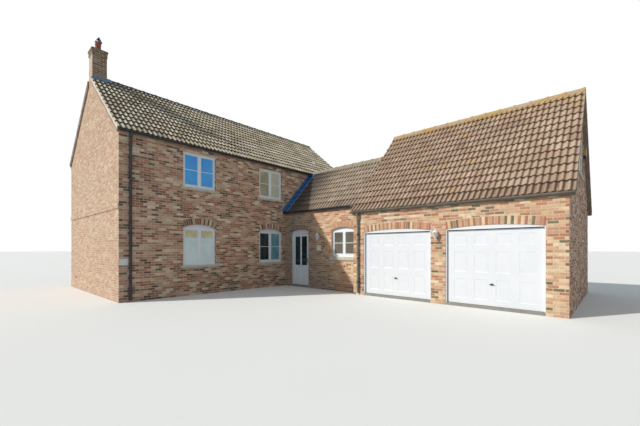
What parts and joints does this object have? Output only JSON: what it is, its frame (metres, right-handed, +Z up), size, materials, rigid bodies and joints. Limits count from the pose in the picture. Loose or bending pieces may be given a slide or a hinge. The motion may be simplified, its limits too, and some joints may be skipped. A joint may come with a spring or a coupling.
{
  "type": "detached house",
  "caption": "Two-storey brick house with a gabled tiled roof and chimney, a low link with the arched front door, and a double garage with up-and-over doors.",
  "frame": {"origin": "middle of the bounding box in plan, at the foot of the walls", "axes": "+X from the tall house along the link to the garage, +Y from the courtyard front to the back, +Z up"},
  "size_m": [16.394, 12.409, 9.1809],
  "materials": {
    "brick": "brown, red and buff stock brick in cream mortar, matt",
    "arch_brick": "orange, red and cream soldier bricks, matt",
    "roof_tile": "greyish brown clay pantile, weathered",
    "pantile": "tan and pinkish brown clay pantile, weathered",
    "ridge_tile": "clay ridge tile with lichen",
    "terracotta": "terracotta, matt",
    "cowl_metal": "dark blue-grey sheet",
    "lead": "dull blue-grey lead sheet",
    "black_plastic": "black rainwater goods",
    "sill_stone": "cream cast stone, lightly stained",
    "concrete": "floated concrete",
    "timber": "plain boards",
    "white_frame": "white, half gloss",
    "window_glass": "clear double glazing",
    "door_glass": "dark glazing",
    "door_handle": "polished, lightly worn",
    "garage_white": "white satin paint on pressed steel",
    "arm_steel": "bare steel",
    "dark_metal": "black, half gloss",
    "lantern_metal": "white and silver paint",
    "plate_white": "bare white plate",
    "alarm_case": "amber case"
  },
  "bodies": {
    "building": {"ground_floors": "concrete", "upper_floors": "timber", "house_gables": "brick", "house_wall_east": "brick", "house_wall_west": "brick", "house_roof": "roof_tile", "chimney_stack": "brick", "chimney_pot": "terracotta", "chimney_cowl": "cowl_metal", "link_wall_left": "brick", "link_wall_right": "brick", "link_wall_over": "brick", "link_wall_rear": "brick", "link_roof": "pantile", "garage_piers": "brick", "garage_wall_over": "brick", "garage_wall_rear": "brick", "garage_gable_left": "brick", "garage_gable_right": "brick", "garage_roof": "pantile", "ridge_tiles": "ridge_tile", "lead_flashing": "lead", "gutters": "black_plastic", "downpipes": "black_plastic", "brick_arches": "arch_brick", "window_sills": "sill_stone", "window_frames": "white_frame", "window_sashes": "white_frame", "window_glass": "window_glass", "front_door_frame": "white_frame", "garage_door_frames": "garage_white", "wall_lanterns": "lantern_metal", "wall_plates": "plate_white", "alarm_box": "alarm_case"},
    "front_door": {"front_door_leaf": "white_frame", "front_door_glass": "door_glass", "front_door_handle": "door_handle"},
    "left_arms": {"garage_arms_left": "arm_steel"},
    "left_leaf": {"garage_leaf_left": "garage_white", "garage_handle_left": "dark_metal"},
    "right_arms": {"garage_arms_right": "arm_steel"},
    "right_leaf": {"garage_leaf_right": "garage_white", "garage_handle_right": "dark_metal"}
  },
  "joints": [
    {"name": "front_door_swing", "type": "hinge", "parent": "building", "child": "front_door", "pos_m": [-1.401, 0.4235, 0.075], "axis": [0, 0, 1], "range_deg": [0, 90]},
    {"name": "left_arms_swing", "type": "hinge", "parent": "building", "child": "left_arms", "pos_m": [3.662, 0.1205, 2.072], "axis": [1, 0, 0], "range_deg": [0, 90]},
    {"name": "left_leaf_tilt", "type": "hinge", "parent": "left_arms", "child": "left_leaf", "pos_m": [3.662, 0.1205, 1.438], "axis": [1, 0, 0], "range_deg": [-180, 0]},
    {"name": "right_arms_swing", "type": "hinge", "parent": "building", "child": "right_arms", "pos_m": [6.462, 0.1205, 2.072], "axis": [1, 0, 0], "range_deg": [0, 90]},
    {"name": "right_leaf_tilt", "type": "hinge", "parent": "right_arms", "child": "right_leaf", "pos_m": [6.462, 0.1205, 1.438], "axis": [1, 0, 0], "range_deg": [-180, 0]}
  ],
  "couplings": [
    {"joint": "left_leaf_tilt", "follows": "left_arms_swing", "ratio": -2},
    {"joint": "right_leaf_tilt", "follows": "right_arms_swing", "ratio": -2}
  ]
}
